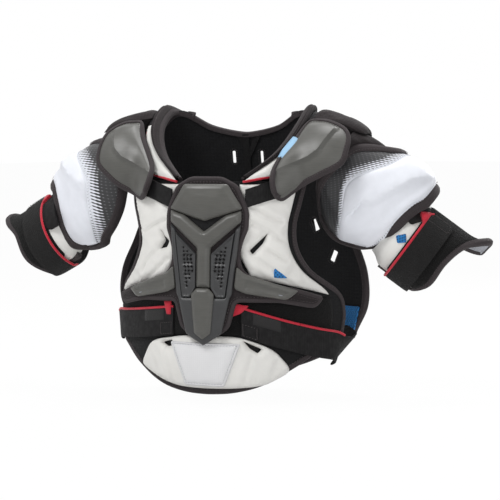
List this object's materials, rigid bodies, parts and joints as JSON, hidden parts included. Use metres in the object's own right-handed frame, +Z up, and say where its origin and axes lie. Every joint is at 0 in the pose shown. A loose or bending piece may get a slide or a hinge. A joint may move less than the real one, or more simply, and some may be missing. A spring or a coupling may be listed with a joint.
{
  "type": "hockey shoulder pads",
  "caption": "Padded ice hockey shoulder pads with a moulded vented sternum, floating shoulder caps, hinged upper-arm guards, adjustable arm cuffs, a belly flap and side straps.",
  "frame": {"origin": "between the shoulders, at the height where the yokes rest on the wearer's shoulders", "axes": "+X towards the wearer's left, +Y towards the back, +Z up"},
  "size_m": [0.7337, 0.2815, 0.4162],
  "materials": {
    "moulded_olive": "satin moulded, fine brushed grain",
    "moulded_slate": "satin moulded, perforated",
    "padded_dark": "padded fabric with sewn binding",
    "lining": "matte knit lining",
    "loop": "fuzzy loop pile",
    "webbing": "woven elastic",
    "white_foam": "soft covered foam",
    "white_gloss": "smooth moulded skin",
    "red_fabric": "folded tape",
    "blue_mesh": "open mesh"
  },
  "bodies": {
    "torso": {"front_liner": "lining", "left_chest_pad": "white_foam", "right_chest_pad": "white_foam", "sternum_core": "lining", "sternum_base": "padded_dark", "sternum_plate": "moulded_olive", "spine_rib": "moulded_olive", "spine_tail": "moulded_olive", "spine_frame": "moulded_slate", "left_vent_plate": "moulded_slate", "right_vent_plate": "moulded_slate", "left_rib_wing": "moulded_olive", "right_rib_wing": "moulded_olive", "front_loop_panel": "loop", "left_cap_tether": "webbing", "right_cap_tether": "webbing", "left_clavicle_pad": "white_foam", "right_clavicle_pad": "white_foam", "left_collar": "padded_dark", "right_collar": "padded_dark", "back_collar": "padded_dark", "left_yoke": "lining", "right_yoke": "lining", "left_shoulder_top": "padded_dark", "right_shoulder_top": "padded_dark", "back_liner": "lining", "left_back_pad": "lining", "right_back_pad": "lining", "back_spine_plate": "moulded_slate", "lower_back_pad": "lining", "left_back_mesh": "blue_mesh", "right_back_mesh": "blue_mesh", "left_side_strap": "webbing", "right_side_strap": "webbing"},
    "belly": {"belly_base": "lining", "belly_pad": "white_foam", "belly_cover": "white_gloss"},
    "left_waist_tongue": {"left_strap_end": "webbing", "left_strap_tab": "red_fabric"},
    "right_waist_tongue": {"right_strap_end": "webbing", "right_strap_tab": "red_fabric"},
    "left_cap": {"left_cap_shell": "moulded_olive", "left_cap_liner": "lining"},
    "right_cap": {"right_cap_shell": "moulded_olive", "right_cap_liner": "lining"},
    "left_arm": {"left_arm_gusset": "padded_dark", "left_bicep_liner": "padded_dark", "left_bicep_plate": "white_gloss"},
    "right_arm": {"right_arm_gusset": "padded_dark", "right_bicep_liner": "padded_dark", "right_bicep_plate": "white_gloss"},
    "left_guard": {"left_arm_guard": "white_foam", "left_guard_loop": "loop", "left_arm_strap": "webbing"},
    "right_guard": {"right_arm_guard": "white_foam", "right_guard_loop": "loop", "right_arm_strap": "webbing"},
    "left_arm_tongue": {"left_arm_strap_end": "webbing"},
    "right_arm_tongue": {"right_arm_strap_end": "webbing"}
  },
  "joints": [
    {"name": "left_cap_lift", "type": "hinge", "parent": "torso", "child": "left_cap", "pos_m": [0.145, -0.017, -0.006], "axis": [-1, 0, 0], "range_deg": [0, 25]},
    {"name": "right_cap_lift", "type": "hinge", "parent": "torso", "child": "right_cap", "pos_m": [-0.145, -0.017, -0.006], "axis": [-1, 0, 0], "range_deg": [0, 25]},
    {"name": "left_arm_lift", "type": "hinge", "parent": "torso", "child": "left_arm", "pos_m": [0.15, 0.024, -0.084], "axis": [0, -1, 0], "range_deg": [0, 8]},
    {"name": "right_arm_lift", "type": "hinge", "parent": "torso", "child": "right_arm", "pos_m": [-0.15, 0.024, -0.084], "axis": [0, 1, 0], "range_deg": [0, 8]},
    {"name": "left_guard_length", "type": "slide", "parent": "left_arm", "child": "left_guard", "axis": [0.7856, 0.1835, -0.5909], "range_m": [0, 0.02]},
    {"name": "right_guard_length", "type": "slide", "parent": "right_arm", "child": "right_guard", "axis": [-0.8639, 0.2292, -0.4484], "range_m": [0, 0.02]},
    {"name": "left_arm_strap_peel", "type": "hinge", "parent": "left_guard", "child": "left_arm_tongue", "pos_m": [0.28687, -0.00713, -0.19804], "axis": [0.7856, 0.1835, -0.5909], "range_deg": [0, 60]},
    {"name": "right_arm_strap_peel", "type": "hinge", "parent": "right_guard", "child": "right_arm_tongue", "pos_m": [-0.30991, -0.00207, -0.16987], "axis": [0.8639, -0.2292, 0.4484], "range_deg": [0, 60]},
    {"name": "left_side_strap_peel", "type": "hinge", "parent": "torso", "child": "left_waist_tongue", "pos_m": [0.12778, -0.06144, -0.314], "axis": [0, 0, 1], "range_deg": [0, 75]},
    {"name": "right_side_strap_peel", "type": "hinge", "parent": "torso", "child": "right_waist_tongue", "pos_m": [-0.12777, -0.06162, -0.2986], "axis": [0, 0, -1], "range_deg": [0, 75]},
    {"name": "belly_flex", "type": "hinge", "parent": "torso", "child": "belly", "pos_m": [0, -0.10382, -0.3163], "axis": [-1, 0, 0], "range_deg": [0, 6]}
  ]
}
